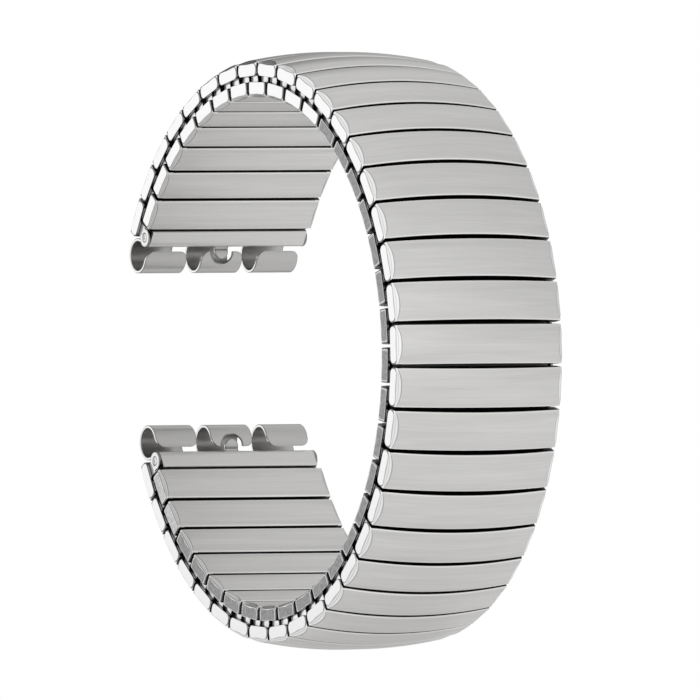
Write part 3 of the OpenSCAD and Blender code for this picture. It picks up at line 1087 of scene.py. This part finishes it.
def add_end(where, k):
    mirror = k == 1
    at = link_frame(k)
    body = f"link_{k:02d}"
    clip = where + "_ring_clip"
    add_piece(end_sleeve(), where + "_end_sleeve_roll", at, body, bar_looks, mirror,
              END_GRAIN + k, [where + "_end_sleeve"])
    add_piece(hinge_pin(), where + "_hinge_pin_wire", at, body, staple_looks, mirror, k,
              [where + "_hinge_pin"])
    add_piece(end_staples(), where + "_end_staples", at, body, staple_looks, mirror, k)
    add_piece(ring_clip(), clip + "_curls", at, clip, clip_looks, mirror,
              CLIP_GRAIN + k, [clip])


for k in range(1, LINKS + 1):
    add_link(k)
for j in STRETCH_SEAMS:
    add_stretch_staples(j)
add_end("upper", 1)
add_end("lower", LINKS)


# Light: a pale room, dimmer at the back and with a dark card on the clips' side. The camera sees white.
ROOM_TONES = (0.9, 0.98, 0.8)
CARD_AT = (-0.93, 0.1, 0.27)
CARD_IN = 16
CARD_OUT = 33
CARD_TONE = 0.12
BACK_TONE = 0.66


def room_ramp(net, height):
    """The room's tone from straight down over the horizon to straight up."""
    ramp = net.new("ShaderNodeValToRGB")
    net.put(ramp.inputs["Fac"], net.math("MULTIPLY_ADD", height, 0.5, 0.5))
    ramp.color_ramp.elements.new(0.5)
    for element, tone in zip(ramp.color_ramp.elements, ROOM_TONES):
        element.color = (tone, tone, tone, 1)
    return ramp.outputs["Color"]


def card_shade(net, direction):
    """1 away from the card, and down to its tone over its soft edge."""
    towards = net.new("ShaderNodeVectorMath", operation="DOT_PRODUCT")
    towards.inputs[1].default_value = Vector(CARD_AT).normalized()
    net.put(towards.inputs[0], direction)
    edge = math.cos(math.radians(CARD_OUT))
    middle = math.cos(math.radians(CARD_IN))
    return net.ranged(towards.outputs["Value"], (edge, 1.0), (middle, CARD_TONE))


def light_the_room():
    world = bpy.data.worlds.new("studio")
    bpy.context.scene.world = world
    net = Nodes(world)
    direction = net.new("ShaderNodeTexCoord").outputs["Generated"]
    split = net.new("ShaderNodeSeparateXYZ")
    net.put(split.inputs[0], direction)
    back_shade = net.ranged(split.outputs["Y"], (0.0, 1.0), (1.0, BACK_TONE), smooth=False)
    shade = net.math("MULTIPLY", card_shade(net, direction), back_shade)
    background = net.nodes["Background"]
    net.put(background.inputs["Color"], net.scaled(room_ramp(net, split.outputs["Z"]), shade))
    white = net.new("ShaderNodeBackground")
    white.inputs["Color"].default_value = (1, 1, 1, 1)
    seen = net.camera_split(background.outputs[0], white.outputs[0])
    net.put(net.nodes["World Output"].inputs["Surface"], seen)


# Floor: plain and pale, glowing as painted light for all rays but the camera's, with painted shade in one
# place that only reflections show, and clear to the camera
FLOOR_HALF_W = 1
FLOOR_TONE = 0.46
FLOOR_ROUGH = 0.9
FLOOR_GLOW = 0.44
PATCH_AT = (-0.13, 0.06, 0)
PATCH_IN = 0.05
PATCH_OUT = 0.1
PATCH_TONE = 0.4


def floor_finish():
    material = bpy.data.materials.new("pale_floor")
    net = Nodes(material)
    bsdf = net.nodes["Principled BSDF"]
    bsdf.inputs["Roughness"].default_value = FLOOR_ROUGH
    # Painted light: the floor glows, though it is no lamp
    bsdf.inputs["Emission Strength"].default_value = FLOOR_GLOW
    away = net.new("ShaderNodeVectorMath", operation="DISTANCE")
    away.inputs[1].default_value = PATCH_AT
    net.put(away.inputs[0], net.new("ShaderNodeTexCoord").outputs["Object"])
    # Painted shade: a darker patch in the floor's glow and colour
    patch = net.ranged(away.outputs["Value"], (PATCH_IN, PATCH_TONE), (PATCH_OUT, 1.0))
    net.put(bsdf.inputs["Emission Color"], net.scaled((1, 1, 1), patch))
    net.put(bsdf.inputs["Base Color"], net.scaled((FLOOR_TONE,) * 3, patch))
    clear = net.new("ShaderNodeBsdfTransparent")
    seen = net.camera_split(bsdf.outputs[0], clear.outputs[0])
    net.put(net.nodes["Material Output"].inputs["Surface"], seen)
    return material


def lay_floor():
    mesh = bpy.data.meshes.new("floor")
    w = FLOOR_HALF_W
    mesh.from_pydata([(-w, -w, 0), (w, -w, 0), (w, w, 0), (-w, w, 0)], [], [(0, 1, 2, 3)])
    mesh.materials.append(floor_finish())
    floor = bpy.data.objects.new("floor", mesh)
    bpy.context.scene.collection.objects.link(floor)


# Camera: the photo's side and height, from far off, because the photo's perspective is weak
AZIMUTH = 61.87
ELEVATION = 0.29
ROLL = 0.29
PIXEL_MM = 0.0963
DISTANCE = 2.8
AIM_RIGHT = 0.56
AIM_Z = 28.9
FRAME_PX = 700
SENSOR = 36
NEAREST = 0.1
FARTHEST = 100


def set_camera():
    a, e, roll = (math.radians(d) for d in (AZIMUTH, ELEVATION, ROLL))
    back = Vector((math.sin(a) * math.cos(e), -math.cos(a) * math.cos(e), math.sin(e)))
    level = Vector((math.cos(a), math.sin(a), 0))
    upright = back.cross(level)
    right = level * math.cos(roll) - upright * math.sin(roll)
    up = level * math.sin(roll) + upright * math.cos(roll)
    data = bpy.data.cameras.new("camera")
    data.sensor_width = SENSOR
    data.lens = SENSOR * DISTANCE / (FRAME_PX * PIXEL_MM * MM)
    data.clip_start = NEAREST
    data.clip_end = FARTHEST
    camera = bpy.data.objects.new("camera", data)
    camera.location = level * AIM_RIGHT * MM + Vector((0, 0, AIM_Z * MM)) + back * DISTANCE
    camera.rotation_euler = Matrix((right, up, back)).transposed().to_euler()
    bpy.context.scene.collection.objects.link(camera)
    bpy.context.scene.camera = camera


light_the_room()
lay_floor()
set_camera()
bpy.context.scene.view_settings.view_transform = "Standard"
